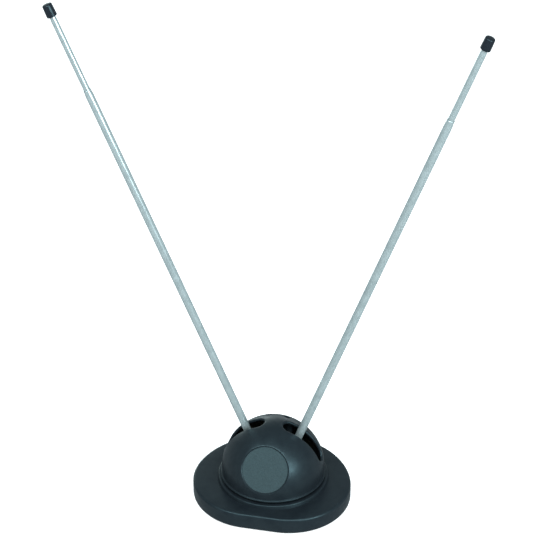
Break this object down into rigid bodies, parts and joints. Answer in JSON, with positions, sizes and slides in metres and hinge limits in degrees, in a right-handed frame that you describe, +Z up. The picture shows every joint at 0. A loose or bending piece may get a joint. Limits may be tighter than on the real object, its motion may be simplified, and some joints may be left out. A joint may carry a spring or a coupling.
{
  "type": "rabbit ears antenna",
  "caption": "Indoor dipole antenna: telescopic ears swing in slots of a round dome that stands on a weighted, flat-fronted plate.",
  "frame": {"origin": "on the surface that the antenna stands on, under the centre of the dome", "axes": "+Z up, -Y out of the flat front of the base, +X towards the right ear as seen from the front; the ears swing in a plane parallel to XZ"},
  "size_m": [0.3569, 0.1223, 0.4578],
  "materials": {
    "black_plastic": "moulded, fine grain, satin",
    "dome_plastic": "moulded, smooth satin",
    "badge_plastic": "coarse matte texture, blank",
    "cap_plastic": "moulded, satin",
    "frame_plastic": "moulded, plain",
    "rubber": "matte",
    "tube_metal": "plated, satin, drawn lengthways",
    "plated_steel": "zinc plated",
    "ballast_steel": "hot rolled, oiled",
    "brass": "turned or stamped, plain",
    "board": "resin-bonded paper",
    "ferrite": "fired ceramic, matte",
    "copper": "enamelled wire"
  },
  "bodies": {
    "base": {"base_shell": "black_plastic", "bottom_cover": "black_plastic", "ballast_plate": "ballast_steel", "foot_pad": "rubber", "lead_grommet": "rubber", "dome": "dome_plastic", "badge_disc": "badge_plastic", "pivot_frame": "frame_plastic", "matching_board": "board", "balun_core": "ferrite", "balun_winding_left": "copper", "balun_winding_right": "copper", "cover_screw_1": "plated_steel", "cover_screw_2": "plated_steel", "cover_screw_3": "plated_steel", "cover_screw_4": "plated_steel", "frame_screw_1": "plated_steel", "frame_screw_2": "plated_steel", "frame_screw_3": "plated_steel", "frame_screw_4": "plated_steel", "dome_screw_left": "plated_steel", "board_screw_left": "plated_steel", "terminal_screw_left": "plated_steel", "pivot_pin_left": "plated_steel", "pivot_nut_left": "plated_steel", "front_washer_left": "plated_steel", "rear_washer_left": "plated_steel", "contact_strip_left": "brass", "dome_screw_right": "plated_steel", "board_screw_right": "plated_steel", "terminal_screw_right": "plated_steel", "pivot_pin_right": "plated_steel", "pivot_nut_right": "plated_steel", "front_washer_right": "plated_steel", "rear_washer_right": "plated_steel", "contact_strip_right": "brass"},
    "left_ear": {"left_knuckle": "brass", "left_outer_tube": "tube_metal"},
    "left_middle": {"left_middle_tube": "tube_metal", "left_middle_slider": "brass"},
    "left_inner": {"left_inner_tube": "tube_metal", "left_inner_slider": "brass", "left_tip_cap": "cap_plastic"},
    "right_ear": {"right_knuckle": "brass", "right_outer_tube": "tube_metal"},
    "right_middle": {"right_middle_tube": "tube_metal", "right_middle_slider": "brass"},
    "right_inner": {"right_inner_tube": "tube_metal", "right_inner_slider": "brass", "right_tip_cap": "cap_plastic"}
  },
  "joints": [
    {"name": "left_swing", "type": "hinge", "parent": "base", "child": "left_ear", "pos_m": [-0.0121, 0.0022, 0.0334], "axis": [0, -1, 0], "range_deg": [-20, 49.2]},
    {"name": "left_middle_slide", "type": "slide", "parent": "left_ear", "child": "left_middle", "axis": [-0.3795, 0, 0.9252], "range_m": [-0.066, 0.26]},
    {"name": "left_inner_slide", "type": "slide", "parent": "left_middle", "child": "left_inner", "axis": [-0.3795, 0, 0.9252], "range_m": [0, 0.325]},
    {"name": "right_swing", "type": "hinge", "parent": "base", "child": "right_ear", "pos_m": [0.0121, 0.0022, 0.0334], "axis": [0, 1, 0], "range_deg": [-18, 51.4]},
    {"name": "right_middle_slide", "type": "slide", "parent": "right_ear", "child": "right_middle", "axis": [0.3437, 0, 0.9391], "range_m": [-0.066, 0.26]},
    {"name": "right_inner_slide", "type": "slide", "parent": "right_middle", "child": "right_inner", "axis": [0.3437, 0, 0.9391], "range_m": [0, 0.325]}
  ]
}
